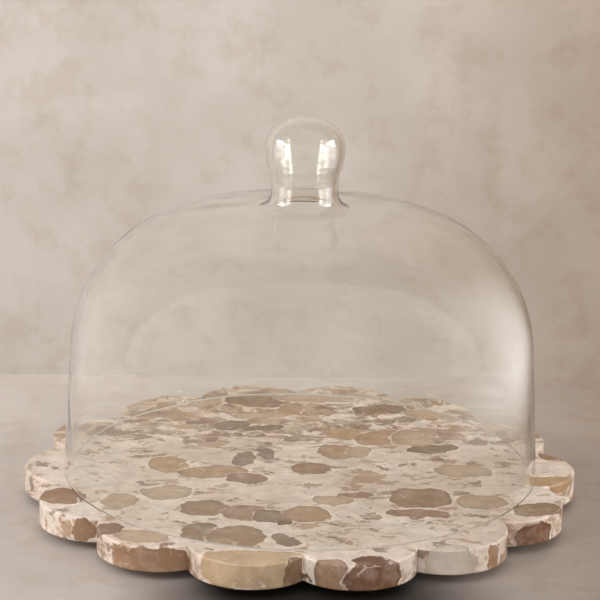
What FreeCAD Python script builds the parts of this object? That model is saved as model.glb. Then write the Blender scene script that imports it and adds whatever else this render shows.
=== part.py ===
"""Domed cake stand: a scalloped stone platter on bumper feet, under a lift-off glass dome.

Millimetres, +Z up. The origin is on the surface that the feet stand on, under the middle of the
platter, and a notch between two lobes faces -Y. Every driving size is a cell of the Dimensions
sheet, and every sketch and feature is bound to those cells.
"""
import FreeCAD
import Part
import math
import os
import Sketcher

DRIVING_SIZES = [
    ("platter_radius", 165.0),         # centre to the crest of a lobe
    ("lobe_radius", 35.7),             # each lobe is part of a circle of this radius
    ("lobe_count", 14),
    ("platter_thickness", 15.2),
    ("platter_edge_round", 1.2),       # eased upper and lower edges of the stone
    ("foot_height", 5.0),              # gap that the feet leave under the stone
    ("foot_radius", 10.0),
    ("foot_taper", 1.5),               # how much narrower a foot is where it stands
    ("foot_edge_round", 1.0),
    ("foot_circle_radius", 110.0),
    ("foot_count", 4),
    ("dome_rim_radius", 141.5),
    ("dome_side_height", 80.0),        # the straight, slightly leaning part of the side
    ("dome_side_lean", 4.4),           # how far that part leans in over its height
    ("dome_crown_radius", 363.0),      # the shallow arc over the top
    ("dome_height", 162.1),
    ("glass_wall", 3.3),
    ("dome_rim_round", 1.2),           # fire-polished rim
    ("knob_height", 53.5),             # from the dome's crown to the top of the bulb
    ("knob_radius", 23.4),
    ("knob_middle_height", 34.8),      # where the bulb is widest
    ("knob_cap_radius", 27.0),         # arc over the top of the bulb
    ("knob_underside_radius", 45.0),   # arc that draws the bulb in towards its neck
    ("neck_radius", 19.7),
    ("neck_top_height", 12.0),         # where the neck becomes a plain cylinder
    ("neck_flare_radius", 9.0),        # hollow arc that spreads the neck onto the crown
    ("neck_foot_radius", 24.5),        # the thin edge where the knob is fused to the crown
]
UP = FreeCAD.Vector(0, 0, 1)
ORIGIN = (-1, 1)                       # a sketch's own origin, as (geometry, point)
LEVEL_AXIS = -1
UPRIGHT_AXIS = -2
START, END, CENTRE = 1, 2, 3
FLAT_WITHIN = 1e-4                     # how far an edge may stray from level, in mm
LEAST_CUT = 1000.0                     # every hollow here takes out more than this, in mm3


def make_sheet(document):
    """Write the driving sizes into a sheet, one aliased cell each."""
    sheet = document.addObject("Spreadsheet::Sheet", "Dimensions")
    for row, (name, value) in enumerate(DRIVING_SIZES, start=1):
        sheet.set(f"A{row}", name)
        sheet.set(f"B{row}", str(value))
        sheet.setAlias(f"B{row}", name)
    document.recompute()
    return sheet


def add_body(document, label, height_expression):
    """A body of its own, held at a height that is bound to the sheet."""
    body = document.addObject("PartDesign::Body", label)
    body.Label = label
    body.setExpression(".Placement.Base.z", height_expression)
    return body


def origin_item(body, role):
    """The body's own origin plane or axis that has this role."""
    return next(item for item in body.Origin.OriginFeatures if item.Role == role)


def add_sketch(body, plane_role, name):
    sketch = body.newObject("Sketcher::SketchObject", name)
    sketch.AttachmentSupport = [(origin_item(body, plane_role), "")]
    sketch.MapMode = "FlatFace"
    return sketch


def add_line(sketch, start, end):
    return sketch.addGeometry(Part.LineSegment(FreeCAD.Vector(*start), FreeCAD.Vector(*end)))


def add_arc(sketch, centre, radius, start_angle, end_angle):
    """An arc drawn anticlockwise, with its angles in radians."""
    circle = Part.Circle(FreeCAD.Vector(*centre), UP, radius)
    return sketch.addGeometry(Part.ArcOfCircle(circle, start_angle, end_angle))


def add_circle(sketch, centre, radius):
    return sketch.addGeometry(Part.Circle(FreeCAD.Vector(*centre), UP, radius))


def relate(sketch, kind, *where):
    sketch.addConstraint(Sketcher.Constraint(kind, *where))


def dimension(sketch, kind, where, name, drawn, expression):
    """A dimension that starts at its drawn value and is then bound to the sheet."""
    index = sketch.addConstraint(Sketcher.Constraint(kind, *where, drawn))
    sketch.renameConstraint(index, name)
    sketch.setExpression(f"Constraints.{name}", expression)


def revolve(body, sketch, name, feature="PartDesign::Revolution"):
    """Turn a half outline once round its sketch's upright axis."""
    turned = body.newObject(feature, name)
    turned.Profile = sketch
    turned.ReferenceAxis = (sketch, ["V_Axis"])
    turned.Angle = 360
    sketch.Visibility = False
    return turned


def hollow_out(document, body, sketch, name):
    """Groove a body with a half outline, and stop if nothing was cut."""
    document.recompute()
    full_volume = body.Shape.Volume
    hollow = revolve(body, sketch, name, "PartDesign::Groove")
    document.recompute()
    if full_volume - hollow.Shape.Volume < LEAST_CUT:
        raise RuntimeError(f"{name} was not cut")
    return hollow


def pad(body, sketch, name, length_expression):
    padded = body.newObject("PartDesign::Pad", name)
    padded.Profile = sketch
    padded.setExpression("Length", length_expression)
    return padded


def level_edges(feature, heights):
    """Names of the edges that lie flat at one of these heights."""
    names = []
    for number, edge in enumerate(feature.Shape.Edges, start=1):
        box = edge.BoundBox
        flat = box.ZLength < FLAT_WITHIN
        if flat and any(abs(box.ZMin - height) < FLAT_WITHIN for height in heights):
            names.append(f"Edge{number}")
    return names


def round_edges(body, feature, heights, name, radius_expression):
    """Fillet every edge that lies flat at one of these heights."""
    rounded = body.newObject("PartDesign::Fillet", name)
    rounded.Base = (feature, level_edges(feature, heights))
    rounded.setExpression("Radius", radius_expression)
    return rounded


def make_platter(document, sheet):
    """Round hub and one lobe, the lobe repeated round the axis, then the eased edges."""
    body = add_body(document, "stone_platter", "Dimensions.foot_height")
    hub_radius = sheet.platter_radius - sheet.lobe_radius
    hub_expression = "Dimensions.platter_radius - Dimensions.lobe_radius"

    hub_sketch = add_sketch(body, "XY_Plane", "hub_circle")
    hub_circle = add_circle(hub_sketch, (0, 0, 0), hub_radius)
    relate(hub_sketch, "Coincident", hub_circle, CENTRE, *ORIGIN)
    dimension(hub_sketch, "Radius", (hub_circle,), "hub_radius", hub_radius, hub_expression)
    pad(body, hub_sketch, "hub", "Dimensions.platter_thickness")

    lobe_sketch = add_sketch(body, "XY_Plane", "lobe_circle")
    lobe_circle = add_circle(lobe_sketch, (hub_radius, 0, 0), sheet.lobe_radius)
    relate(lobe_sketch, "PointOnObject", lobe_circle, CENTRE, LEVEL_AXIS)
    dimension(lobe_sketch, "DistanceX", (*ORIGIN, lobe_circle, CENTRE), "lobe_centre",
              hub_radius, hub_expression)
    dimension(lobe_sketch, "Radius", (lobe_circle,), "lobe_radius",
              sheet.lobe_radius, "Dimensions.lobe_radius")
    lobe = pad(body, lobe_sketch, "lobe", "Dimensions.platter_thickness")
    document.recompute()

    lobes = body.newObject("PartDesign::PolarPattern", "lobes")
    lobes.Originals = [lobe]
    lobes.Axis = (origin_item(body, "Z_Axis"), [""])
    lobes.Angle = 360
    lobes.setExpression("Occurrences", "Dimensions.lobe_count")
    body.Tip = lobes
    document.recompute()
    round_edges(body, lobes, (0, sheet.platter_thickness), "eased_edges",
                "Dimensions.platter_edge_round")
    return body


def make_foot(document, sheet, number):
    """Tapered rubber bumper, glued under the stone, with a rounded lower edge."""
    body = add_body(document, f"bumper_foot_{number}", "0 mm")
    turn = 360 / sheet.foot_count * (number - 0.5)
    body.setExpression(".Placement.Base.x", f"Dimensions.foot_circle_radius * cos({turn} deg)")
    body.setExpression(".Placement.Base.y", f"Dimensions.foot_circle_radius * sin({turn} deg)")

    sketch = add_sketch(body, "XZ_Plane", f"foot_outline_{number}")
    standing_radius = sheet.foot_radius - sheet.foot_taper
    under = add_line(sketch, (0, 0, 0), (standing_radius, 0, 0))
    side = add_line(sketch, (standing_radius, 0, 0), (sheet.foot_radius, sheet.foot_height, 0))
    top = add_line(sketch, (sheet.foot_radius, sheet.foot_height, 0), (0, sheet.foot_height, 0))
    axis = add_line(sketch, (0, sheet.foot_height, 0), (0, 0, 0))
    relate(sketch, "Coincident", under, START, *ORIGIN)
    relate(sketch, "Coincident", under, END, side, START)
    relate(sketch, "Coincident", side, END, top, START)
    relate(sketch, "Coincident", top, END, axis, START)
    relate(sketch, "Coincident", axis, END, under, START)
    relate(sketch, "Horizontal", under)
    relate(sketch, "Horizontal", top)
    relate(sketch, "Vertical", axis)
    dimension(sketch, "DistanceX", (*ORIGIN, side, START), "standing_radius", standing_radius,
              "Dimensions.foot_radius - Dimensions.foot_taper")
    dimension(sketch, "DistanceX", (*ORIGIN, side, END), "glued_radius", sheet.foot_radius,
              "Dimensions.foot_radius")
    dimension(sketch, "DistanceY", (*ORIGIN, side, END), "height", sheet.foot_height,
              "Dimensions.foot_height")
    solid = revolve(body, sketch, f"foot_solid_{number}")
    document.recompute()
    round_edges(body, solid, (0,), f"foot_edge_{number}", "Dimensions.foot_edge_round")
    return body


def draw_dome(sketch, sheet, inset):
    """Half outline of the dome: leaning side, shoulder and shallow crown, closed at the axis.

    inset is 0 for the outside, and 1 for the hollow, which is smaller by the wall all over. The
    shoulder touches the side at the side's upper end, and touches the crown from inside.
    """
    wall = inset * sheet.glass_wall
    less_wall = f" - {inset} * Dimensions.glass_wall"
    lean = math.atan2(sheet.dome_side_lean, sheet.dome_side_height)
    lean_expression = "atan(Dimensions.dome_side_lean / Dimensions.dome_side_height)"
    rim = sheet.dome_rim_radius - wall / math.cos(lean)
    across = sheet.dome_rim_radius - sheet.dome_side_lean - wall * math.cos(lean)
    side_height = sheet.dome_side_height - wall * math.sin(lean)
    height = sheet.dome_height - wall
    crown_radius = sheet.dome_crown_radius - wall
    crown_centre = height - crown_radius
    above = side_height - crown_centre
    slack = crown_radius - across * math.cos(lean) - above * math.sin(lean)
    shoulder_radius = (crown_radius**2 - across**2 - above**2) / (2 * slack)
    shoulder_centre = (across - shoulder_radius * math.cos(lean),
                       side_height - shoulder_radius * math.sin(lean), 0)
    crown_angle = math.atan2(shoulder_centre[1] - crown_centre, shoulder_centre[0])

    under = add_line(sketch, (0, 0, 0), (rim, 0, 0))
    side = add_line(sketch, (rim, 0, 0), (across, side_height, 0))
    shoulder = add_arc(sketch, shoulder_centre, shoulder_radius, lean, crown_angle)
    crown = add_arc(sketch, (0, crown_centre, 0), crown_radius, crown_angle, math.pi / 2)
    axis = add_line(sketch, (0, height, 0), (0, 0, 0))
    relate(sketch, "Coincident", under, START, *ORIGIN)
    relate(sketch, "Coincident", under, END, side, START)
    relate(sketch, "Tangent", side, END, shoulder, START)
    relate(sketch, "Tangent", shoulder, END, crown, START)
    relate(sketch, "Coincident", crown, END, axis, START)
    relate(sketch, "Coincident", axis, END, under, START)
    relate(sketch, "Horizontal", under)
    relate(sketch, "Vertical", axis)
    relate(sketch, "PointOnObject", crown, CENTRE, UPRIGHT_AXIS)
    dimension(sketch, "DistanceX", (*ORIGIN, side, START), "rim_radius", rim,
              f"Dimensions.dome_rim_radius{less_wall} / cos({lean_expression})")
    dimension(sketch, "DistanceX", (*ORIGIN, side, END), "side_top_radius", across,
              "Dimensions.dome_rim_radius - Dimensions.dome_side_lean"
              f"{less_wall} * cos({lean_expression})")
    dimension(sketch, "DistanceY", (*ORIGIN, side, END), "side_height", side_height,
              f"Dimensions.dome_side_height{less_wall} * sin({lean_expression})")
    dimension(sketch, "Radius", (crown,), "crown_radius", crown_radius,
              "Dimensions.dome_crown_radius" + less_wall)
    dimension(sketch, "DistanceY", (*ORIGIN, crown, END), "crown_height", height,
              "Dimensions.dome_height" + less_wall)


def flare_centre(sheet):
    """Centre of the arcs that spread the neck onto the crown, above the crown's top."""
    across = sheet.neck_radius + sheet.neck_flare_radius
    reach = sheet.dome_crown_radius + sheet.neck_flare_radius
    return (across, math.sqrt(reach**2 - across**2) - sheet.dome_crown_radius, 0)


def dimension_flare(sketch, flare, radius, radius_expression):
    """Bind a flare arc's height and radius, so that it touches the crown's arc."""
    across = "Dimensions.neck_radius + Dimensions.neck_flare_radius"
    reach = "Dimensions.dome_crown_radius + Dimensions.neck_flare_radius"
    dimension(sketch, "DistanceY", (*ORIGIN, flare, CENTRE), "flare_height",
              sketch.getPoint(flare, CENTRE).y,
              f"sqrt(({reach})^2 - ({across})^2) - Dimensions.dome_crown_radius")
    dimension(sketch, "Radius", (flare,), "flare_radius", radius, radius_expression)


def draw_throat(sketch, sheet):
    """The flared way from the dome up into the neck, left open at its upper end.

    Returns the flare's arc, whose START is at the neck, and the line that leads to the axis,
    whose END is on it.
    """
    centre = flare_centre(sheet)
    radius = sheet.neck_flare_radius + sheet.glass_wall
    turn = math.atan2(centre[1] + sheet.dome_crown_radius, centre[0])
    touching = (centre[0] - radius * math.cos(turn), centre[1] - radius * math.sin(turn), 0)
    flare = add_arc(sketch, centre, radius, math.pi, math.pi + turn)
    under = add_line(sketch, touching, (0, touching[1], 0))
    relate(sketch, "Coincident", flare, END, under, START)
    relate(sketch, "Horizontal", under)
    relate(sketch, "PointOnObject", under, END, UPRIGHT_AXIS)
    dimension_flare(sketch, flare, radius, "Dimensions.neck_flare_radius + Dimensions.glass_wall")
    dimension(sketch, "DistanceX", (*ORIGIN, flare, END), "throat_mouth", touching[0],
              "(Dimensions.neck_radius + Dimensions.neck_flare_radius)"
              " * (Dimensions.dome_crown_radius - Dimensions.glass_wall)"
              " / (Dimensions.dome_crown_radius + Dimensions.neck_flare_radius)")
    return flare, under


def make_dome(document, sheet):
    """Blown glass shell, open below, with a polished rim and an open throat to the knob."""
    body = add_body(document, "glass_dome", "Dimensions.foot_height + Dimensions.platter_thickness")
    outside_sketch = add_sketch(body, "XZ_Plane", "dome_outline")
    draw_dome(outside_sketch, sheet, inset=0)
    revolve(body, outside_sketch, "dome_solid")
    hollow_sketch = add_sketch(body, "XZ_Plane", "dome_hollow_outline")
    draw_dome(hollow_sketch, sheet, inset=1)
    hollow_out(document, body, hollow_sketch, "dome_hollow")

    throat_sketch = add_sketch(body, "XZ_Plane", "throat_outline")
    throat_sketch.setExpression(".AttachmentOffset.Base.y", "Dimensions.dome_height")
    flare, under = draw_throat(throat_sketch, sheet)
    neck = sheet.neck_radius - sheet.glass_wall
    height = flare_centre(sheet)[1]
    axis = add_line(throat_sketch, throat_sketch.getPoint(under, END), (0, height, 0))
    top = add_line(throat_sketch, (0, height, 0), (neck, height, 0))
    relate(throat_sketch, "Coincident", under, END, axis, START)
    relate(throat_sketch, "Vertical", axis)
    relate(throat_sketch, "Coincident", axis, END, top, START)
    relate(throat_sketch, "Horizontal", top)
    relate(throat_sketch, "Perpendicular", top, END, flare, START)
    dimension(throat_sketch, "DistanceX", (*ORIGIN, top, END), "throat_radius", neck,
              "Dimensions.neck_radius - Dimensions.glass_wall")
    throat = hollow_out(document, body, throat_sketch, "throat")
    round_edges(body, throat, (0,), "polished_rim", "Dimensions.dome_rim_round")
    return body


def draw_bulb(sketch, sheet, inset):
    """Half outline of the bulb and neck, from its top down to the neck's straight part.

    inset is 0 for the outside, and the wall for the hollow inside it. Returns the arc over the
    top and the neck's line, whose end points are left for the caller to close.
    """
    wall = inset * sheet.glass_wall
    less_wall = f" - {inset} * Dimensions.glass_wall"
    bulb = sheet.knob_radius - wall
    neck = sheet.neck_radius - wall
    cap_radius = sheet.knob_cap_radius - wall
    underside_radius = sheet.knob_underside_radius - wall
    top = sheet.knob_height - wall
    middle = sheet.knob_middle_height
    neck_top = sheet.neck_top_height

    rise = middle - (top - cap_radius)
    side_radius = (cap_radius**2 - bulb**2 - rise**2) / (2 * (cap_radius - bulb))
    side_angle = math.atan2(rise, bulb - side_radius)
    turn = 2 * math.atan2(bulb - neck, middle - neck_top)
    neck_arc_radius = (middle - neck_top) / math.sin(turn) - underside_radius

    cap = add_arc(sketch, (0, top - cap_radius, 0), cap_radius, side_angle, math.pi / 2)
    side = add_arc(sketch, (bulb - side_radius, middle, 0), side_radius, 0, side_angle)
    underside = add_arc(sketch, (bulb - underside_radius, middle, 0), underside_radius, -turn, 0)
    neck_arc = add_arc(sketch, (neck + neck_arc_radius, neck_top, 0), neck_arc_radius,
                       math.pi - turn, math.pi)
    neck_line = add_line(sketch, (neck, neck_top, 0), (neck, sheet.neck_flare_radius, 0))
    relate(sketch, "PointOnObject", cap, CENTRE, UPRIGHT_AXIS)
    relate(sketch, "Tangent", cap, START, side, END)
    relate(sketch, "Tangent", side, START, underside, END)
    relate(sketch, "Horizontal", side, CENTRE, side, START)
    relate(sketch, "Tangent", underside, START, neck_arc, START)
    relate(sketch, "Tangent", neck_arc, END, neck_line, START)
    relate(sketch, "Vertical", neck_line)
    dimension(sketch, "Radius", (cap,), "cap_radius", cap_radius,
              "Dimensions.knob_cap_radius" + less_wall)
    dimension(sketch, "DistanceY", (*ORIGIN, cap, END), "top_height", top,
              "Dimensions.knob_height" + less_wall)
    dimension(sketch, "DistanceX", (*ORIGIN, side, START), "bulb_radius", bulb,
              "Dimensions.knob_radius" + less_wall)
    dimension(sketch, "DistanceY", (*ORIGIN, side, START), "middle_height", middle,
              "Dimensions.knob_middle_height")
    dimension(sketch, "Radius", (underside,), "underside_radius", underside_radius,
              "Dimensions.knob_underside_radius" + less_wall)
    dimension(sketch, "DistanceX", (*ORIGIN, neck_line, START), "neck_radius", neck,
              "Dimensions.neck_radius" + less_wall)
    dimension(sketch, "DistanceY", (*ORIGIN, neck_line, START), "neck_top", neck_top,
              "Dimensions.neck_top_height")
    return cap, neck_line


def draw_knob_outside(sketch, sheet):
    """The bulb's outline, closed by the flare, its thin edge and the arc that fits the crown."""
    cap, neck_line = draw_bulb(sketch, sheet, inset=0)
    crown = sheet.dome_crown_radius
    radius = sheet.neck_flare_radius
    centre = flare_centre(sheet)
    flare_turn = math.acos((centre[0] - sheet.neck_foot_radius) / radius)
    edge_top = (sheet.neck_foot_radius, centre[1] - radius * math.sin(flare_turn), 0)
    foot_angle = math.acos(sheet.neck_foot_radius / crown)
    foot = (sheet.neck_foot_radius, crown * math.sin(foot_angle) - crown, 0)

    flare = add_arc(sketch, centre, radius, math.pi, math.pi + flare_turn)
    edge = add_line(sketch, edge_top, foot)
    seat = add_arc(sketch, (0, -crown, 0), crown, foot_angle, math.pi / 2)
    axis = add_line(sketch, (0, 0, 0), (0, sheet.knob_height, 0))
    relate(sketch, "Tangent", neck_line, END, flare, START)
    relate(sketch, "Coincident", flare, END, edge, START)
    relate(sketch, "Vertical", edge)
    relate(sketch, "Coincident", edge, END, seat, START)
    relate(sketch, "PointOnObject", seat, CENTRE, UPRIGHT_AXIS)
    relate(sketch, "Coincident", seat, END, *ORIGIN)
    relate(sketch, "Coincident", axis, START, *ORIGIN)
    relate(sketch, "Coincident", axis, END, cap, END)
    dimension_flare(sketch, flare, radius, "Dimensions.neck_flare_radius")
    dimension(sketch, "Radius", (seat,), "seat_radius", crown, "Dimensions.dome_crown_radius")
    dimension(sketch, "DistanceX", (*ORIGIN, edge, START), "foot_radius", foot[0],
              "Dimensions.neck_foot_radius")


def draw_knob_hollow(sketch, sheet):
    """The same outline inset by the wall, run down through the throat into the dome."""
    cap, neck_line = draw_bulb(sketch, sheet, inset=1)
    flare, under = draw_throat(sketch, sheet)
    axis = add_line(sketch, sketch.getPoint(under, END),
                    (0, sheet.knob_height - sheet.glass_wall, 0))
    relate(sketch, "Tangent", neck_line, END, flare, START)
    relate(sketch, "Coincident", under, END, axis, START)
    relate(sketch, "Coincident", axis, END, cap, END)


def make_knob(document, sheet):
    """Hollow blown bulb on a neck, its flared foot shaped to the crown that it is fused to."""
    body = add_body(document, "glass_knob", "Dimensions.foot_height"
                    " + Dimensions.platter_thickness + Dimensions.dome_height")
    outside_sketch = add_sketch(body, "XZ_Plane", "knob_outline")
    draw_knob_outside(outside_sketch, sheet)
    revolve(body, outside_sketch, "knob_solid")
    hollow_sketch = add_sketch(body, "XZ_Plane", "knob_hollow_outline")
    draw_knob_hollow(hollow_sketch, sheet)
    hollow_out(document, body, hollow_sketch, "knob_hollow")
    return body


def check_and_export(document, bodies):
    """Stop on any failed object or bad shape, then write one STEP file per body."""
    for item in document.Objects:
        if "Invalid" in item.State or "Error" in item.State:
            raise RuntimeError(f"{item.Label} failed: {item.State}")
    for body in bodies:
        if body.Shape.isNull() or not body.Shape.isValid() or len(body.Shape.Solids) != 1:
            raise RuntimeError(f"{body.Label} has a bad shape")
    os.makedirs("parts", exist_ok=True)
    for body in bodies:
        body.Shape.exportStep(f"parts/{body.Label}.step")
        box = body.Shape.BoundBox
        print(f"{body.Label}: volume {body.Shape.Volume:.0f} mm3, "
              f"z {box.ZMin:.2f} to {box.ZMax:.2f}, width {box.XLength:.2f}")


def main():
    document = FreeCAD.newDocument("cake_stand_dome")
    sheet = make_sheet(document)
    bodies = [make_platter(document, sheet)]
    for number in range(1, int(sheet.foot_count) + 1):
        bodies.append(make_foot(document, sheet, number))
    bodies.append(make_dome(document, sheet))
    bodies.append(make_knob(document, sheet))
    document.recompute()
    check_and_export(document, bodies)


main()
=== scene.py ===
"""Looks for the domed cake stand: blown glass, breccia stone, rubber feet and a plain studio.

Metres, +Z up, in the frame's own axes. The platter's notch between two lobes faces -Y, and so
does the camera's side. The materials work in millimetres of each object's own space.
"""

import math

import bmesh
import bpy
from mathutils import Matrix, Vector


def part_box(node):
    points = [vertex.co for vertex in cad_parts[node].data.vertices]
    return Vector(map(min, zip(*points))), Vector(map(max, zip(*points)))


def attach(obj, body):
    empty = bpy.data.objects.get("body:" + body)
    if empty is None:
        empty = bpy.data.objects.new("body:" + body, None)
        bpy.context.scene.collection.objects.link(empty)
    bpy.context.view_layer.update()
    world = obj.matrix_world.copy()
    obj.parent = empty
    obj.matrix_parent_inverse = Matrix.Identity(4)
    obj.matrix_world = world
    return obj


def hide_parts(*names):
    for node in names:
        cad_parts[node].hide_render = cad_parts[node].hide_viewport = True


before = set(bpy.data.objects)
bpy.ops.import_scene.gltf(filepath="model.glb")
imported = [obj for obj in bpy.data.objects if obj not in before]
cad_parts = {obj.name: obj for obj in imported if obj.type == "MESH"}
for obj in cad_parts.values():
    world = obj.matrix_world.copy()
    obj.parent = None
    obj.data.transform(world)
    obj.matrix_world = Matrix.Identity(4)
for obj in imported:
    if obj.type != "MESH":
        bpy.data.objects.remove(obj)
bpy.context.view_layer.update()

MM = 0.001
KNOB_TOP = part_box("glass_knob")[1][2]
PLATTER_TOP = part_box("stone_platter")[1][2]

RIM_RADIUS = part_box("glass_dome")[1][0]
GLASS_WALL = 3.3 * MM
RIM_ROUND = 1.2 * MM
SIDE_HEIGHT = 80.0 * MM                  # the straight, slightly leaning part of the dome's side
SIDE_LEAN = 4.4 * MM
CROWN_RADIUS = 363.0 * MM
KNOB_HEIGHT = 53.5 * MM
KNOB_RADIUS = 23.4 * MM
KNOB_MIDDLE = 34.8 * MM                  # where the bulb is widest, above the crown
KNOB_CAP_RADIUS = 27.0 * MM
KNOB_UNDERSIDE_RADIUS = 45.0 * MM
NECK_RADIUS = 19.7 * MM
NECK_TOP = 12.0 * MM                     # where the neck becomes a plain cylinder
NECK_FLARE_RADIUS = 9.0 * MM
CROWN_TOP = KNOB_TOP - KNOB_HEIGHT - PLATTER_TOP
TURNS = 192                              # segments round the turned glass

HALF_TURN = math.pi
QUARTER_TURN = math.pi / 2


# ---------------------------------------------------------------- glass shape

def arc(centre, radius, start, end, steps):
    """Points along an arc, as (across, up) pairs, with the angles in radians."""
    points = []
    for step in range(steps + 1):
        angle = start + (end - start) * step / steps
        points.append((centre[0] + radius * math.cos(angle), centre[1] + radius * math.sin(angle)))
    return points


def join(points, onward):
    """Carry an outline on along a straight line to where the next stretch starts.

    The line's points crowd at its ends, so that smooth shading bends only there.
    """
    shares = (0.01, 0.03, 0.1, 0.25, 0.4, 0.55, 0.7, 0.85, 0.95, 0.98, 0.99)
    start, end = points[-1], onward[0]
    line = [(start[0] + (end[0] - start[0]) * share, start[1] + (end[1] - start[1]) * share)
            for share in shares]
    return points + line + onward


def dome_arcs(wall):
    """The dome's rim radius, lean, shoulder and crown, set in from the outside by wall.

    The shoulder touches the side at the side's upper end, and touches the crown from inside.
    """
    lean = math.atan2(SIDE_LEAN, SIDE_HEIGHT)
    rim = RIM_RADIUS - wall / math.cos(lean)
    across = RIM_RADIUS - SIDE_LEAN - wall * math.cos(lean)
    side_height = SIDE_HEIGHT - wall * math.sin(lean)
    crown_radius = CROWN_RADIUS - wall
    crown_centre = (0.0, CROWN_TOP - CROWN_RADIUS)
    above = side_height - crown_centre[1]
    slack = crown_radius - across * math.cos(lean) - above * math.sin(lean)
    shoulder_radius = (crown_radius**2 - across**2 - above**2) / (2 * slack)
    shoulder_centre = (across - shoulder_radius * math.cos(lean),
                       side_height - shoulder_radius * math.sin(lean))
    crown_angle = math.atan2(shoulder_centre[1] - crown_centre[1], shoulder_centre[0])
    return rim, lean, (shoulder_centre, shoulder_radius), (crown_centre, crown_radius), crown_angle


def bulb_outline(wall):
    """The knob from its top down to the start of its straight neck, set in by wall."""
    bulb = KNOB_RADIUS - wall
    neck = NECK_RADIUS - wall
    cap_radius = KNOB_CAP_RADIUS - wall
    underside_radius = KNOB_UNDERSIDE_RADIUS - wall
    cap_centre = (0.0, KNOB_HEIGHT - KNOB_CAP_RADIUS)
    rise = KNOB_MIDDLE - cap_centre[1]
    side_radius = (cap_radius**2 - bulb**2 - rise**2) / (2 * (cap_radius - bulb))
    side_angle = math.atan2(rise, bulb - side_radius)
    turn = 2 * math.atan2(bulb - neck, KNOB_MIDDLE - NECK_TOP)
    neck_arc_radius = (KNOB_MIDDLE - NECK_TOP) / math.sin(turn) - underside_radius
    points = arc(cap_centre, cap_radius, QUARTER_TURN, side_angle, 20)
    points += arc((bulb - side_radius, KNOB_MIDDLE), side_radius, side_angle, 0, 14)[1:]
    points += arc((bulb - underside_radius, KNOB_MIDDLE), underside_radius, 0, -turn, 12)[1:]
    points += arc((neck + neck_arc_radius, NECK_TOP), neck_arc_radius,
                  HALF_TURN - turn, HALF_TURN, 12)[1:]
    return [(across, up + CROWN_TOP) for across, up in points]


def flare_outline(wall):
    """The hollow arc from the neck's foot out onto the crown, and the angle where it ends."""
    crown_centre = CROWN_TOP - CROWN_RADIUS
    across = NECK_RADIUS + NECK_FLARE_RADIUS
    reach = CROWN_RADIUS + NECK_FLARE_RADIUS
    up = crown_centre + math.sqrt(reach**2 - across**2)
    turn = math.atan2(up - crown_centre, across)
    return arc((across, up), NECK_FLARE_RADIUS + wall, HALF_TURN, HALF_TURN + turn, 24), turn


def half_outline(wall, rim_round):
    """One face of the shell, from the knob's top down to the rim's rounded edge."""
    rim, lean, shoulder, crown, crown_angle = dome_arcs(wall)
    flare, foot_angle = flare_outline(wall)
    points = join(bulb_outline(wall), flare)
    points += arc(*crown, foot_angle, crown_angle, 24)[1:]
    points += arc(*shoulder, crown_angle, lean, 36)[1:]
    return join(points, rim_round)


def glass_outline():
    """The whole blown wall: down the outside, round the polished rim and up the inside."""
    inner_rim = dome_arcs(GLASS_WALL)[0]
    outer_edge = arc((RIM_RADIUS - RIM_ROUND, RIM_ROUND), RIM_ROUND, 0, -QUARTER_TURN, 10)
    inner_edge = arc((inner_rim + RIM_ROUND, RIM_ROUND), RIM_ROUND, -HALF_TURN, -QUARTER_TURN, 10)
    return half_outline(0.0, outer_edge) + half_outline(GLASS_WALL, inner_edge)[::-1]


def turn_outline(outline, base):
    """Turn an outline that starts and ends on the axis into a closed skin, facing outwards."""
    mesh = bmesh.new()
    rings = []
    for across, up in outline:
        count = TURNS if across > MM * MM else 1
        rings.append([mesh.verts.new((across * math.cos(2 * math.pi * turn / TURNS),
                                      across * math.sin(2 * math.pi * turn / TURNS), base + up))
                      for turn in range(count)])
    for upper, lower in zip(rings, rings[1:]):
        for turn in range(TURNS):
            after = (turn + 1) % TURNS
            if len(upper) == 1:
                mesh.faces.new((upper[0], lower[turn], lower[after]))
            elif len(lower) == 1:
                mesh.faces.new((upper[turn], lower[0], upper[after]))
            else:
                mesh.faces.new((upper[turn], lower[turn], lower[after], upper[after]))
    return mesh


def finish_mesh(name, mesh, material):
    """Make a smooth-shaded object of a bmesh, with one material."""
    data = bpy.data.meshes.new(name)
    mesh.to_mesh(data)
    mesh.free()
    data.shade_smooth()
    data.materials.append(material)
    piece = bpy.data.objects.new(name, data)
    bpy.context.collection.objects.link(piece)
    return piece


# ---------------------------------------------------------------- material helpers

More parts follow.
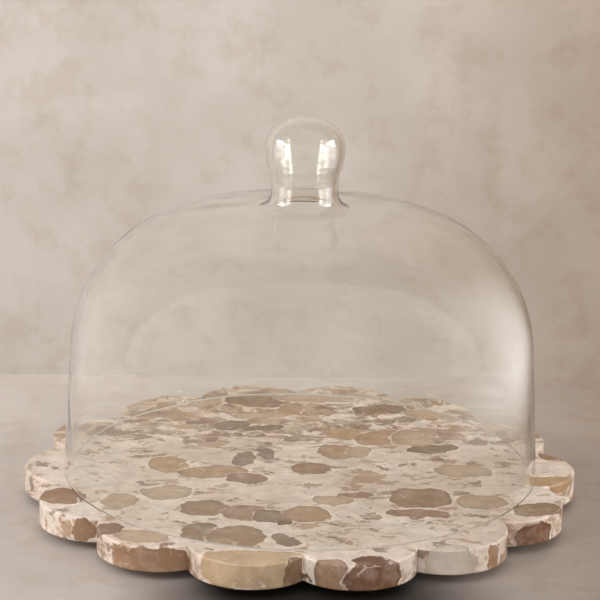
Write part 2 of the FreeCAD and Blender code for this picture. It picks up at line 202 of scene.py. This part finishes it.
class NodeMaker:
    """Adds nodes to a tree, with a short call for each kind of node that this scene uses."""

    def __init__(self, tree):
        self.tree = tree

    def node(self, kind, inputs=None, **settings):
        """Add a node; an input is a plain value or another node's output."""
        made = self.tree.nodes.new(kind)
        for setting, value in settings.items():
            setattr(made, setting, value)
        for place, value in (inputs or {}).items():
            self.put(made.inputs[place], value)
        return made

    def put(self, socket, value):
        """Link a socket to another node's output, or set it to a plain value."""
        if isinstance(value, bpy.types.NodeSocket):
            self.tree.links.new(value, socket)
        else:
            socket.default_value = value

    def math(self, operation, first, second=0.0):
        made = self.node("ShaderNodeMath", {0: first, 1: second}, operation=operation)
        return made.outputs[0]

    def vector(self, operation, first, second=(0.0, 0.0, 0.0)):
        made = self.node("ShaderNodeVectorMath", {0: first, 1: second}, operation=operation)
        return made.outputs["Value" if operation == "LENGTH" else "Vector"]

    def scaled(self, vector, factor):
        made = self.node("ShaderNodeVectorMath", {0: vector, "Scale": factor}, operation="SCALE")
        return made.outputs["Vector"]

    def axes(self, vector):
        """A vector's x, y and z."""
        return self.node("ShaderNodeSeparateXYZ", {0: vector}).outputs

    def channels(self, colour):
        """A colour's red, green and blue."""
        return self.node("ShaderNodeSeparateColor", {0: colour}).outputs

    def noise(self, vector, size, detail=3.0, roughness=0.5):
        """Noise whose features are about this many millimetres across."""
        return self.node("ShaderNodeTexNoise", {"Vector": vector, "Scale": 1 / size,
                                                "Detail": detail, "Roughness": roughness})

    def cells(self, vector, size, feature="F1"):
        return self.node("ShaderNodeTexVoronoi", {"Vector": vector, "Scale": 1 / size},
                         feature=feature)

    def fade(self, value, start, end, low=0.0, high=1.0):
        """Ease a value from low at start to high at end."""
        made = self.node("ShaderNodeMapRange",
                         {"Value": value, "From Min": start, "From Max": end,
                          "To Min": low, "To Max": high}, interpolation_type="SMOOTHSTEP")
        return made.outputs["Result"]

    def mix(self, factor, first, second, blend="MIX"):
        made = self.node("ShaderNodeMix", data_type="RGBA", blend_type=blend)
        self.put(made.inputs["Factor"], factor)
        self.put(made.inputs[6], first)
        self.put(made.inputs[7], second)
        return made.outputs[2]

    def bump(self, height, strength, depth):
        """A bump of this many metres; height runs from 0 to 1."""
        inputs = {"Height": height, "Strength": strength, "Distance": depth}
        return self.node("ShaderNodeBump", inputs).outputs["Normal"]

    def place(self):
        """Where a point is on the object, in millimetres."""
        coordinates = self.node("ShaderNodeTexCoord").outputs["Object"]
        return self.scaled(coordinates, 1 / MM)


class Shading(NodeMaker):
    """A new material, and the shader and output that its nodes lead to."""

    def __init__(self, name):
        self.material = bpy.data.materials.new(name)
        self.material.use_nodes = True
        super().__init__(self.material.node_tree)
        self.shader = self.tree.nodes["Principled BSDF"]
        self.output = self.tree.nodes["Material Output"]

    def show_front_only(self, surface):
        """Use this shader on the front of the faces, and let light through from behind."""
        behind = self.node("ShaderNodeNewGeometry").outputs["Backfacing"]
        through = self.node("ShaderNodeBsdfTransparent").outputs["BSDF"]
        mixer = self.node("ShaderNodeMixShader", {0: behind, 1: surface, 2: through})
        self.put(self.output.inputs["Surface"], mixer.outputs["Shader"])


def rgb(red, green, blue):
    return (red, green, blue, 1.0)


# ---------------------------------------------------------------- glass

WAVE_SIZE = 38.0                         # mm: how far apart the blown glass's faint waves are
WAVE_DEPTH = 0.18 * MM


def glass_material():
    """Clear blown glass, faintly wavy, that lets lamps through to what it covers."""
    make = Shading("clear_glass")
    make.put(make.shader.inputs["Base Color"], rgb(0.985, 0.992, 0.974))
    make.put(make.shader.inputs["Roughness"], 0.0)
    make.put(make.shader.inputs["IOR"], 1.5)
    make.put(make.shader.inputs["Transmission Weight"], 1.0)
    waves = make.noise(make.place(), WAVE_SIZE, detail=1.0).outputs["Fac"]
    make.put(make.shader.inputs["Normal"], make.bump(waves, 1.0, WAVE_DEPTH))
    path = make.node("ShaderNodeLightPath")
    lamp_ray = make.math("MAXIMUM", path.outputs["Is Shadow Ray"], path.outputs["Is Diffuse Ray"])
    through = make.node("ShaderNodeBsdfTransparent", {"Color": rgb(0.965, 0.97, 0.955)})
    mixer = make.node("ShaderNodeMixShader", {0: lamp_ray, 1: make.shader.outputs["BSDF"],
                                              2: through.outputs["BSDF"]})
    make.put(make.output.inputs["Surface"], mixer.outputs["Shader"])
    return make.material


def make_cloche():
    """The dome and the knob as one blown skin, which rides on the dome's body."""
    cloche = finish_mesh("glass_cloche", turn_outline(glass_outline(), PLATTER_TOP),
                         glass_material())
    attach(cloche, "dome")
    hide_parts("glass_dome", "glass_knob")


# ---------------------------------------------------------------- stone

CREAM = rgb(0.63, 0.525, 0.455)
CREAM_SHADE = rgb(0.53, 0.425, 0.345)
CREAM_LIGHT = rgb(0.70, 0.61, 0.54)
VEIN = rgb(0.76, 0.68, 0.60)
PIT = rgb(0.10, 0.065, 0.045)
CLAST_TINTS = {
    "grey": rgb(0.21, 0.135, 0.085),
    "taupe": rgb(0.265, 0.16, 0.095),
    "brown": rgb(0.27, 0.155, 0.088),
    "umber": rgb(0.15, 0.07, 0.033),
    "olive": rgb(0.225, 0.14, 0.075),
    "tan": rgb(0.35, 0.22, 0.13),
    "gold": rgb(0.38, 0.24, 0.125),
    "fawn": rgb(0.41, 0.295, 0.205),
    "honey": rgb(0.45, 0.325, 0.20),
    "ash": rgb(0.52, 0.44, 0.37),
}
TOP = PLATTER_TOP / MM
# The largest clasts: middle (x, y, z), half sizes (x, y, z), turn in degrees, tint. Millimetres.
CLASTS = (
    ((-34, 14, TOP), (7, 14, 8), 10, "grey"),
    ((-20, 24, TOP), (5, 10, 7), -8, "grey"),
    ((7, -2, TOP), (12, 10, 7), 0, "brown"),
    ((24, 29, TOP), (12, 13, 8), -20, "tan"),
    ((36, 30, TOP), (7, 11, 6), 10, "fawn"),
    ((-56, -72, TOP), (14, 13, 9), 6, "taupe"),
    ((-32, -79, TOP), (13, 13, 8), -15, "taupe"),
    ((-18, -84, TOP), (10, 11, 7), 20, "grey"),
    ((3, -80, TOP), (13, 13, 8), -8, "tan"),
    ((-10, -93, TOP), (4, 6, 4), 0, "umber"),
    ((-57, -110, TOP), (11, 14, 9), 12, "olive"),
    ((-37, -117, TOP), (16, 16, 10), -4, "taupe"),
    ((69, -52, TOP), (18, 17, 9), 0, "taupe"),
    ((67, -77, TOP), (19, 6, 5), 3, "taupe"),
    ((-79, 2, TOP), (12, 14, 8), -15, "gold"),
    ((-52, -10, TOP), (21, 11, 7), -10, "tan"),
    ((-32, -21, TOP), (12, 9, 6), 10, "taupe"),
    ((-78, -46, TOP), (15, 12, 6), -18, "fawn"),
    ((-104, -62, TOP), (10, 12, 6), 20, "fawn"),
    ((-42, 78, TOP), (12, 8, 6), -20, "grey"),
    ((-22, 73, TOP), (14, 5, 5), -12, "grey"),
    ((-65, 83, TOP), (7, 4, 5), 0, "grey"),
    ((-26, 124, TOP), (22, 11, 8), 6, "olive"),
    ((12, 132, TOP), (26, 9, 8), 0, "fawn"),
    ((-4, 111, TOP), (8, 11, 8), 15, "tan"),
    ((-24, 98, TOP), (18, 6, 6), -8, "fawn"),
    ((53, 111, TOP), (18, 8, 8), -6, "olive"),
    ((82, 104, TOP), (16, 8, 8), 10, "fawn"),
    ((30, 62, TOP), (12, 11, 7), 10, "gold"),
    ((52, 56, TOP), (18, 13, 9), -12, "tan"),
    ((72, 56, TOP), (14, 16, 9), 8, "fawn"),
    ((82, 36, TOP), (16, 7, 7), -10, "grey"),
    ((-45, 60, TOP), (3, 4, 4), 0, "grey"),
    ((-37, 60, TOP), (3, 4, 4), 0, "grey"),
    ((-23, 59, TOP), (3, 4, 4), 0, "grey"),
    ((-54, 50, TOP), (4, 4, 4), 0, "grey"),
    ((-10, -122, TOP), (6, 11, 5), -35, "grey"),
    ((31, -49, TOP), (11, 5, 4), -10, "taupe"),
    ((18, -57, TOP), (13, 7, 4), 5, "fawn"),
    ((104, -58, TOP), (14, 12, 6), 0, "fawn"),
    ((98, -4, TOP), (18, 11, 5), 6, "fawn"),
    ((-28, -152, 17), (30, 12, 15), 0, "honey"),
    ((-3, -158, 12), (8, 10, 16), 0, "olive"),
    ((14, -160, 11), (10, 9, 15), 12, "taupe"),
    ((38, -158, 12), (16, 15, 10), -6, "umber"),
    ((-84, -131, 10), (24, 13, 10), 24, "brown"),
    ((-91, -120, TOP), (17, 9, 5), 14, "fawn"),
    ((-127, -98, 12), (9, 11, 9), 45, "taupe"),
    ((-110, -108, TOP), (8, 9, 7), 30, "grey"),
    ((106, -125, 12), (5, 6, 8), -40, "brown"),
    ((80, -137, 9), (18, 9, 14), -30, "ash"),
    ((134, -88, 10), (13, 12, 8), -40, "umber"),
    ((136, -70, TOP), (15, 10, 5), -20, "olive"),
    ((-138, -56, TOP), (14, 13, 6), 20, "brown"),
    ((-152, -52, 10), (7, 10, 6), 30, "grey"),
    ((150, -22, TOP), (14, 9, 6), 0, "gold"),
    ((155, 26, 15), (9, 12, 8), 0, "brown"),
)
WOBBLE_SIZE = 9.0                        # how far apart a clast's edge wavers
WOBBLE_DEPTH = 4.2
FRAY_SIZE = 2.4                          # the same for the finer fraying along it
FRAY_DEPTH = 1.1
DRIFT_SIZE = 42.0                        # the same for the broad swirl of the ground and veins
DRIFT_DEPTH = 13.0
GROUND_SEED = (310.0, 45.0, 0.0)         # moves the loose clasts to a pleasing place
SQUARENESS = 2.4                         # 2 makes a large clast an ellipsoid, and more squares it
HALO_SIZE = 14.0                         # how far apart a clast's pale halo comes and goes
RIM_TINT = rgb(0.68, 0.60, 0.52)         # darkens a large clast towards its edge
CROWD_START, CROWD_END = 20.0, 70.0      # mm behind the axis: the stone grows browner in between
# The smears: each one's shift in its noise, its size in mm and its tint.
SMEARS = ((0.0, 30.0, "tan"), (77.0, 22.0, "grey"), (151.0, 15.0, "fawn"))
SMEAR_SQUEEZE = (1.0, 1.9, 1.9)          # narrows the smears in Y and Z, so that they run along X
# The loose clasts: each kind's shift in its cells, its size in mm, the least share of the cells
# that hold a clast, and how much is added to it where the stone is browner.
LOOSE_CLASTS = ((57.0, 6.5, 0.04, 0.06), (0.0, 13.0, 0.04, 0.23), (131.0, 24.0, 0.01, 0.34))
LOOSE_ROUNDNESS = 0.52
# The veins: how far apart they are in mm, their width as a share of that, and their strength.
VEINS = ((37.0, 0.016, 0.75), (19.0, 0.02, 0.5))
PIT_SPACING = 8.5
PIT_SHARE = 0.16                         # how many of the cells hold a pit
PIT_WIDTH = 0.085                        # the widest pit's radius, as a share of the spacing


def clast_group():
    """A node group that lays one clast, with its pale halo, over the ground it is given."""
    group = bpy.data.node_groups.new("clast", "ShaderNodeTree")
    wanted = (("Ground", "NodeSocketColor"), ("Place", "NodeSocketVector"),
              ("Middle", "NodeSocketVector"), ("Half Size", "NodeSocketVector"),
              ("Turn", "NodeSocketFloat"), ("Tint", "NodeSocketColor"))
    for name, kind in wanted:
        group.interface.new_socket(name, in_out="INPUT", socket_type=kind)
    group.interface.new_socket("Ground", in_out="OUTPUT", socket_type="NodeSocketColor")
    make = NodeMaker(group)
    given = make.node("NodeGroupInput").outputs
    offset = make.vector("SUBTRACT", given["Place"], given["Middle"])
    turned = make.node("ShaderNodeVectorRotate", {"Vector": offset, "Angle": given["Turn"]},
                       rotation_type="Z_AXIS").outputs["Vector"]
    share = make.vector("DIVIDE", turned, given["Half Size"])
    across, along, up = [make.math("POWER", axis, SQUARENESS)
                         for axis in make.axes(make.vector("ABSOLUTE", share))]
    total = make.math("ADD", make.math("ADD", across, along), up)
    reach = make.math("POWER", total, 1 / SQUARENESS)
    where = make.noise(given["Place"], HALO_SIZE, detail=2.0).outputs["Fac"]
    halo = make.math("MULTIPLY", make.fade(reach, 1.16, 1.05),
                     make.fade(where, 0.42, 0.6, 0.05, 0.6))
    inside = make.fade(reach, 1.03, 0.97)
    cloud = make.noise(given["Place"], 8.0, detail=4.0, roughness=0.6).outputs["Fac"]
    pale = make.mix(halo, given["Ground"], VEIN)
    tint = make.mix(make.fade(cloud, 0.4, 0.75, 0.0, 0.25), given["Tint"], CREAM)
    rim = make.fade(reach, 0.72, 1.0, 0.0, 0.4)
    tint = make.mix(rim, tint, make.mix(1.0, tint, RIM_TINT, "MULTIPLY"))
    laid = make.mix(inside, pale, tint)
    make.node("NodeGroupOutput", {"Ground": laid})
    return group


def lay_clasts(make, ground, place):
    """Lay the largest clasts over the ground, one after another."""
    group = clast_group()
    for middle, half_size, turn, tint in CLASTS:
        clast = make.node("ShaderNodeGroup", node_tree=group)
        values = {"Ground": ground, "Place": place, "Middle": middle, "Half Size": half_size,
                  "Turn": math.radians(turn), "Tint": CLAST_TINTS[tint]}
        for name, value in values.items():
            make.put(clast.inputs[name], value)
        ground = clast.outputs["Ground"]
    return ground


def ramp(make, value, stops):
    """A colour for each value, easing between (position, colour) stops."""
    made = make.node("ShaderNodeValToRGB", {"Fac": value})
    elements = made.color_ramp.elements
    while len(elements) < len(stops):
        elements.new(0.5)
    for element, (position, colour) in zip(elements, stops):
        element.position = position
        element.color = colour
    return made.outputs["Color"]


def stone_ground(make, place, crowd):
    """Cloudy cream, smeared with drawn-out browns where crowd is near 1."""
    cloud = make.noise(place, 55.0, detail=6.0, roughness=0.62).outputs["Fac"]
    colour = ramp(make, cloud, ((0.32, CREAM_SHADE), (0.5, CREAM), (0.68, CREAM_LIGHT)))
    drawn_out = make.vector("MULTIPLY", place, SMEAR_SQUEEZE)
    for shift, size, tint in SMEARS:
        moved = make.vector("ADD", drawn_out, (shift, shift, shift))
        smear = make.noise(moved, size, detail=5.0, roughness=0.6).outputs["Fac"]
        edge = make.math("ADD", smear, make.math("MULTIPLY", crowd, 0.065))
        strength = make.fade(edge, 0.595, 0.625, 0.0, 0.8)
        colour = make.mix(strength, colour, CLAST_TINTS[tint])
    return colour


def lay_veins(make, ground, place):
    """Thin pale veins that cross the ground and the clasts here and there."""
    for size, width, strength in VEINS:
        crack = make.cells(place, size, "DISTANCE_TO_EDGE").outputs["Distance"]
        where = make.fade(make.noise(place, 1.5 * size).outputs["Fac"], 0.60, 0.66)
        vein = make.math("MULTIPLY", make.fade(crack, 1.6 * width, 0.6 * width), where)
        ground = make.mix(make.math("MULTIPLY", vein, strength), ground, VEIN)
    return ground


def loose_clasts(make, ground, place, size, presence):
    """Random clasts about this many millimetres across, in this share of their cells."""
    nearest = make.cells(place, size)
    edge = make.cells(place, size, "DISTANCE_TO_EDGE").outputs["Distance"]
    luck = make.channels(nearest.outputs["Color"])
    chosen = make.math("LESS_THAN", luck[0], presence)
    reach = make.math("SUBTRACT", LOOSE_ROUNDNESS, nearest.outputs["Distance"])
    inside = make.math("MINIMUM", make.fade(reach, -0.01, 0.03), make.fade(edge, 0.05, 0.09))
    cloud = make.noise(place, size / 2.5, detail=4.0).outputs["Fac"]
    tint = ramp(make, luck[1], ((0.0, CLAST_TINTS["brown"]), (0.3, CLAST_TINTS["grey"]),
                                (0.65, CLAST_TINTS["tan"]), (1.0, CLAST_TINTS["fawn"])))
    strength = make.math("MULTIPLY", make.math("MULTIPLY", inside, chosen),
                         make.fade(cloud, 0.35, 0.65, 0.95, 0.55))
    return make.mix(strength, ground, tint)


def shift_about(make, vector, place, size, depth):
    """Shift a vector by up to this many millimetres each way, by noise of this size at place."""
    noise = make.noise(place, size, detail=2.0).outputs["Color"]
    shift = make.scaled(make.vector("SUBTRACT", noise, (0.5, 0.5, 0.5)), 2 * depth)
    return make.vector("ADD", vector, shift)


def lay_pits(make, ground, place, grain):
    """Small ragged pits in the ground; gives the new ground and where the pits are."""
    pits = make.cells(make.vector("ADD", place, (11.0, 3.0, 29.0)), PIT_SPACING)
    luck = make.channels(pits.outputs["Color"])
    width = make.math("MULTIPLY", luck[1], PIT_WIDTH)
    ragged = make.math("ADD", pits.outputs["Distance"], make.fade(grain, 0.3, 0.7, -0.03, 0.03))
    pit = make.math("MULTIPLY", make.math("LESS_THAN", luck[0], PIT_SHARE),
                    make.fade(make.math("SUBTRACT", width, ragged), -0.01, 0.02))
    return make.mix(make.math("MULTIPLY", pit, 0.8), ground, PIT), pit


def stone_material():
    """Honed breccia: cream ground, loose clasts of three sizes, large clasts, veins and pits."""
    make = Shading("breccia_stone")
    place = make.place()
    wavering = shift_about(make, place, place, WOBBLE_SIZE, WOBBLE_DEPTH)
    wavering = shift_about(make, wavering, place, FRAY_SIZE, FRAY_DEPTH)
    drifting = shift_about(make, wavering, place, DRIFT_SIZE, DRIFT_DEPTH)
    drifting = make.vector("ADD", drifting, GROUND_SEED)

    axes = make.axes(place)
    rear = make.fade(axes[1], CROWD_START, CROWD_END)
    sides = make.fade(axes[2], TOP - 1.0, TOP - 3.0, 0.0, 0.6)
    crowd = make.math("MAXIMUM", rear, sides)

    colour = stone_ground(make, drifting, crowd)
    for shift, size, least, more in LOOSE_CLASTS:
        presence = make.math("ADD", least, make.math("MULTIPLY", crowd, more))
        moved = make.vector("ADD", drifting, (shift, shift / 2, 0.0))
        colour = loose_clasts(make, colour, moved, size, presence)
    colour = lay_clasts(make, colour, wavering)
    colour = lay_veins(make, colour, drifting)

    grain = make.noise(place, 1.6, detail=4.0, roughness=0.65).outputs["Fac"]
    mottle = make.noise(place, 11.0, detail=5.0, roughness=0.6).outputs["Fac"]
    shade = make.math("ADD", make.fade(grain, 0.3, 0.7, -0.05, 0.05),
                      make.fade(mottle, 0.3, 0.7, -0.11, 0.11))
    tone = make.math("ADD", shade, 1.0)
    tone = make.node("ShaderNodeCombineColor", {channel: tone for channel in range(3)})
    colour = make.mix(1.0, colour, tone.outputs["Color"], "MULTIPLY")
    colour, pit = lay_pits(make, colour, place, grain)
    make.put(make.shader.inputs["Base Color"], colour)

    polish = make.noise(place, 27.0, detail=4.0).outputs["Fac"]
    rough = make.math("ADD", make.fade(polish, 0.3, 0.7, 0.34, 0.48),
                      make.math("MULTIPLY", pit, 0.4))
    make.put(make.shader.inputs["Roughness"], rough)
    relief = make.math("SUBTRACT", make.math("MULTIPLY", grain, 0.12), pit)
    make.put(make.shader.inputs["Normal"], make.bump(relief, 0.8, 0.35 * MM))
    return make.material


# ---------------------------------------------------------------- feet

def rubber_material():
    """Matt moulded rubber with a fine grain and a dusty lower edge."""
    make = Shading("bumper_rubber")
    place = make.place()
    grain = make.noise(place, 0.35, detail=3.0).outputs["Fac"]
    dust = make.noise(place, 4.0, detail=4.0, roughness=0.65).outputs["Fac"]
    up = make.axes(place)[2]
    dusty = make.math("MULTIPLY", make.fade(dust, 0.35, 0.65), make.fade(up, 2.5, 0.0, 0.15, 0.8))
    make.put(make.shader.inputs["Base Color"],
             make.mix(dusty, rgb(0.024, 0.023, 0.022), rgb(0.09, 0.08, 0.07)))
    make.put(make.shader.inputs["Roughness"], make.fade(grain, 0.3, 0.7, 0.62, 0.78))
    make.put(make.shader.inputs["Normal"], make.bump(grain, 0.5, 0.08 * MM))
    return make.material


def dress_node(node, material):
    """Give a CAD node this one material, and leave its mesh as it is."""
    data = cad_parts[node].data
    data.materials.clear()
    data.materials.append(material)


# ---------------------------------------------------------------- studio

WALL_PLACE = 0.243
STAGE_REACH = 3.0
STAGE_HEIGHT = 2.5
CLOUD_SIZE = 90.0
PATCH_SIZE = 21.0
PATCH_TINT = rgb(0.84, 0.77, 0.70)
BROWN_AND_SHADE_REACH = 230.0                      # mm towards +X: from here on the painted shade and the browning are full
PAINTED_SHADE_PLACE = (8.0, -158.0, 0.0)         # mm: where the shade painted on the floor is deepest, under the front lobes
PAINTED_SHADE_REACH = (125.0, 56.0, 1.0)
PAINTED_SHADE_TINT = rgb(0.02, 0.017, 0.014)
WARM = (1.0, 0.97, 0.93)
STAND_MIDDLE = (0.0, 0.0, 0.05)
# The softboxes: name, place, aim, size, power in watts and spread in degrees.
SOFTBOXES = (
    ("left_softbox", (-1.2, 0.10, 0.24), STAND_MIDDLE, (0.8, 0.4), 2.8, 100.0),
    ("right_softbox", (1.15, 0.08, 0.20), STAND_MIDDLE, (0.7, 0.3), 2.7, 100.0),
    ("wall_wash", (-0.2, -0.15, 0.8), (-0.2, WALL_PLACE, 0.3), (1.4, 0.2), 1.15, 64.0),
    ("floor_wash", (-0.6, -0.5, 0.5), (-0.28, -0.33, 0.0), (0.3, 0.3), 0.4, 60.0),
)
# The knob's window: each row's height above the knob in degrees, and its lights' power in watts
# at each of the swings, in degrees round the knob from the camera's side.
WINDOW_SWINGS = (58, 70, 82, 94)
WINDOW_ROWS = ((22, (0.0010, 0.0020, 0.0070, 0.0070)),
               (10, (0.0060, 0.0010, 0.0020, 0.0025)),
               (-2, (0.0060, 0.0006, 0.0008, 0.0012)),
               (-14, (0.0020, 0.0006, 0.0008, 0.0010)))
WINDOW_DISTANCE = 0.45
WINDOW_LIGHT_SIZE = 0.095
WINDOW_SPREAD = 18.0
REFLECTOR_RADIUS = 0.195
REFLECTOR_BOTTOM = PLATTER_TOP + 5 * MM
REFLECTOR_TOP = 0.32
REFLECTOR_STEPS = 24
REFLECTOR_LOW_FADE = 80.0                # mm above the table: the glow is full between these two
REFLECTOR_HIGH_FADE = 90.0
REFLECTOR_SOFT_SHARE = 0.45              # how much of the arc the glow takes to fade in, or out


def stage_material(name, colour, shade, stain, roughness, one_sided=False):
    """Softly clouded paint or plaster, with brown patches, growing darker and browner towards +X:
    the darkening is painted shade, the browning is its own tint.

    The floor also has a shade painted under the stand's front, out of the wall's reach.
    """
    make = Shading(name)
    place = make.place()
    cloud = make.noise(place, CLOUD_SIZE, detail=7.0, roughness=0.6).outputs["Fac"]
    clouded = make.mix(make.fade(cloud, 0.35, 0.65), shade, colour)
    patches = make.noise(place, PATCH_SIZE, detail=6.0, roughness=0.65).outputs["Fac"]
    clouded = make.mix(make.fade(patches, 0.48, 0.66, 0.0, 0.45), clouded,
                       make.mix(1.0, clouded, PATCH_TINT, "MULTIPLY"))
    # Painted shade with a brown tint: the surface grows darker and browner towards +X.
    clouded = make.mix(make.fade(make.axes(place)[0], 0.0, BROWN_AND_SHADE_REACH), clouded,
                       make.mix(1.0, clouded, stain, "MULTIPLY"))
    # Painted shade: the floor is painted dark under the stand's front, where the stand's shadow
    # would fall.
    from_painted_shade = make.vector("DIVIDE", make.vector("SUBTRACT", place, PAINTED_SHADE_PLACE), PAINTED_SHADE_REACH)
    painted_shade_mask = make.fade(make.vector("LENGTH", from_painted_shade), 1.0, 0.35)
    clouded = make.mix(painted_shade_mask, clouded, PAINTED_SHADE_TINT)
    make.put(make.shader.inputs["Base Color"], clouded)
    make.put(make.shader.inputs["Roughness"], roughness)
    if one_sided:
        make.show_front_only(make.shader.outputs["BSDF"])
    return make.material


def flat_sheet(name, corners, material):
    """A flat piece of the stage."""
    mesh = bmesh.new()
    mesh.faces.new([mesh.verts.new(corner) for corner in corners])
    sheet = finish_mesh(name, mesh, material)
    return sheet


def make_stage():
    """A pale floor, and a pale wall close behind the stand that can be seen through from behind."""
    reach = STAGE_REACH
    flat_sheet("studio_floor",
               ((-reach, -reach, 0), (reach, -reach, 0), (reach, reach, 0), (-reach, reach, 0)),
               stage_material("pale_floor", rgb(0.55, 0.50, 0.47), rgb(0.50, 0.45, 0.42),
                              rgb(0.62, 0.56, 0.51), 0.55))
    wall = flat_sheet("studio_wall",
                      ((-reach, WALL_PLACE, 0), (reach, WALL_PLACE, 0),
                       (reach, WALL_PLACE, STAGE_HEIGHT), (-reach, WALL_PLACE, STAGE_HEIGHT)),
                      stage_material("plaster_wall", rgb(0.64, 0.60, 0.57), rgb(0.56, 0.515, 0.48),
                                     rgb(0.74, 0.66, 0.58), 0.8, one_sided=True))
    wall.visible_shadow = False


def add_softbox(name, place, aim, size, power, colour, spread=180.0, shows=False):
    """A rectangular area light that faces aim; shows says whether glass and gloss reflect it."""
    light = bpy.data.lights.new(name, "AREA")
    light.shape = "RECTANGLE"
    light.size, light.size_y = size
    light.energy = power
    light.color = colour
    light.spread = math.radians(spread)
    lamp = bpy.data.objects.new(name, light)
    lamp.location = place
    lamp.rotation_euler = (Vector(aim) - Vector(place)).to_track_quat("-Z", "Y").to_euler()
    lamp.visible_glossy = shows
    lamp.visible_transmission = shows
    lamp.visible_camera = False
    bpy.context.collection.objects.link(lamp)
    return lamp


def light_studio():
    """Soft light from both sides, washes on the wall and the floor, and what the glass reflects."""
    for name, place, aim, size, power, spread in SOFTBOXES:
        add_softbox(name, place, aim, size, power, WARM, spread)
    light_stone()
    light_knob()
    add_reflector("right_reflector", 38.0, 116.0, 3.2)
    add_reflector("left_reflector", -118.0, -50.0, 0.8)


def light_stone():
    """A fill from the camera's side that lights the platter and nothing else."""
    fill = add_softbox("stone_fill", (0.0, -0.8, 0.45), (0.0, -0.16, 0.01), (0.8, 0.3), 2.2,
                       (1.0, 0.99, 0.98))
    lit_by_fill = bpy.data.collections.new("lit_by_fill")
    lit_by_fill.objects.link(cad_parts["stone_platter"])
    fill.light_linking.receiver_collection = lit_by_fill


def light_knob():
    """Narrow lights on both sides, close together, that look like one window in the knob."""
    knob = Vector((0.0, 0.0, KNOB_TOP - 20 * MM))
    for side in (-1, 1):
        for rise, powers in WINDOW_ROWS:
            for swing, power in zip(WINDOW_SWINGS, powers):
                level, turn = math.radians(rise), math.radians(swing)
                way = Vector((side * math.sin(turn) * math.cos(level),
                              -math.cos(turn) * math.cos(level), math.sin(level)))
                lamp = add_softbox("knob_softbox", knob + WINDOW_DISTANCE * way, knob,
                                   (WINDOW_LIGHT_SIZE, WINDOW_LIGHT_SIZE), power, WARM,
                                   WINDOW_SPREAD, shows=True)
                show_first_reflection(lamp.data)


def show_first_reflection(light):
    """Show a light only where it is reflected once: not through glass, nor in a second glass."""
    light.use_nodes = True
    make = NodeMaker(light.node_tree)
    bounces = make.node("ShaderNodeLightPath").outputs["Glossy Depth"]
    off_one = make.math("ABSOLUTE", make.math("SUBTRACT", bounces, 1.0))
    make.put(make.tree.nodes["Emission"].inputs["Strength"], make.math("LESS_THAN", off_one, 0.5))


def add_reflector(name, start, end, strength):
    """A curved card close round the dome, seen only by gloss, that glows softly onto the glass.

    The angles, in degrees, are measured round the dome from the camera's side towards +X.
    """
    mesh = bmesh.new()
    edges = []
    for across, along in arc((0.0, 0.0), REFLECTOR_RADIUS, math.radians(start) - QUARTER_TURN,
                             math.radians(end) - QUARTER_TURN, REFLECTOR_STEPS):
        edges.append([mesh.verts.new((across, along, up))
                      for up in (REFLECTOR_BOTTOM, REFLECTOR_TOP)])
    for here, onward in zip(edges, edges[1:]):
        mesh.faces.new((here[0], here[1], onward[1], onward[0]))
    make = Shading(name + "_glow")
    axes = make.axes(make.place())
    angle = make.math("ARCTAN2", axes[0], make.math("MULTIPLY", axes[1], -1.0))
    soft = math.radians(REFLECTOR_SOFT_SHARE * (end - start))
    glow = make.math("MULTIPLY", make.fade(angle, math.radians(start), math.radians(start) + soft),
                     make.fade(angle, math.radians(end), math.radians(end) - soft))
    glow = make.math("MULTIPLY", glow,
                     make.fade(axes[2], REFLECTOR_BOTTOM / MM, REFLECTOR_LOW_FADE))
    glow = make.math("MULTIPLY", glow,
                     make.fade(axes[2], REFLECTOR_TOP / MM, REFLECTOR_HIGH_FADE, 0.0, strength))
    lit = make.node("ShaderNodeEmission", {"Color": rgb(0.96, 0.98, 1.0), "Strength": glow})
    clear = make.node("ShaderNodeBsdfTransparent")
    added = make.node("ShaderNodeAddShader", {0: lit.outputs["Emission"], 1: clear.outputs["BSDF"]})
    make.show_front_only(added.outputs["Shader"])
    card = finish_mesh(name, mesh, make.material)
    card.visible_camera = False
    card.visible_diffuse = False
    card.visible_transmission = False
    card.visible_shadow = False


def world_air():
    """Soft studio air, nearly even: a little dimmer on the camera's side and from below."""
    world = bpy.data.worlds.new("studio_air")
    world.use_nodes = True
    make = NodeMaker(world.node_tree)
    way = make.axes(make.node("ShaderNodeTexCoord").outputs["Generated"])
    glow = make.math("MULTIPLY", make.fade(way[1], -0.75, 0.1, 0.76, 0.80),
                     make.fade(way[2], -0.05, 0.5, 0.97, 1.0))
    background = make.tree.nodes["Background"]
    make.put(background.inputs["Color"], rgb(1.0, 0.965, 0.93))
    make.put(background.inputs["Strength"], glow)
    bpy.context.scene.world = world


def add_camera():
    """A long lens a little above the stand, tipped down at it and rolled slightly."""
    distance = 1.624                     # metres from the point that it's aimed at
    elevation = math.radians(15.91)
    roll = math.radians(0.933)
    heading = Matrix.Rotation(math.radians(-1.005), 4, "Z")
    aim = heading @ Vector((-0.0017, 0.0, PLATTER_TOP + 0.1042))
    turn = heading @ Matrix.Rotation(QUARTER_TURN - elevation, 4, "X")
    turn = turn @ Matrix.Rotation(roll, 4, "Z")
    data = bpy.data.cameras.new("camera")
    data.sensor_width = 36.0
    data.lens = 164.9
    camera = bpy.data.objects.new("camera", data)
    camera.matrix_world = Matrix.Translation(aim) @ turn @ Matrix.Translation((0, 0, distance))
    bpy.context.collection.objects.link(camera)
    bpy.context.scene.camera = camera


make_cloche()
dress_node("stone_platter", stone_material())
bumper_rubber = rubber_material()
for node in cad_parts:
    if node.startswith("bumper_foot"):
        dress_node(node, bumper_rubber)
make_stage()
light_studio()
world_air()
add_camera()
bpy.context.scene.view_settings.view_transform = "Standard"
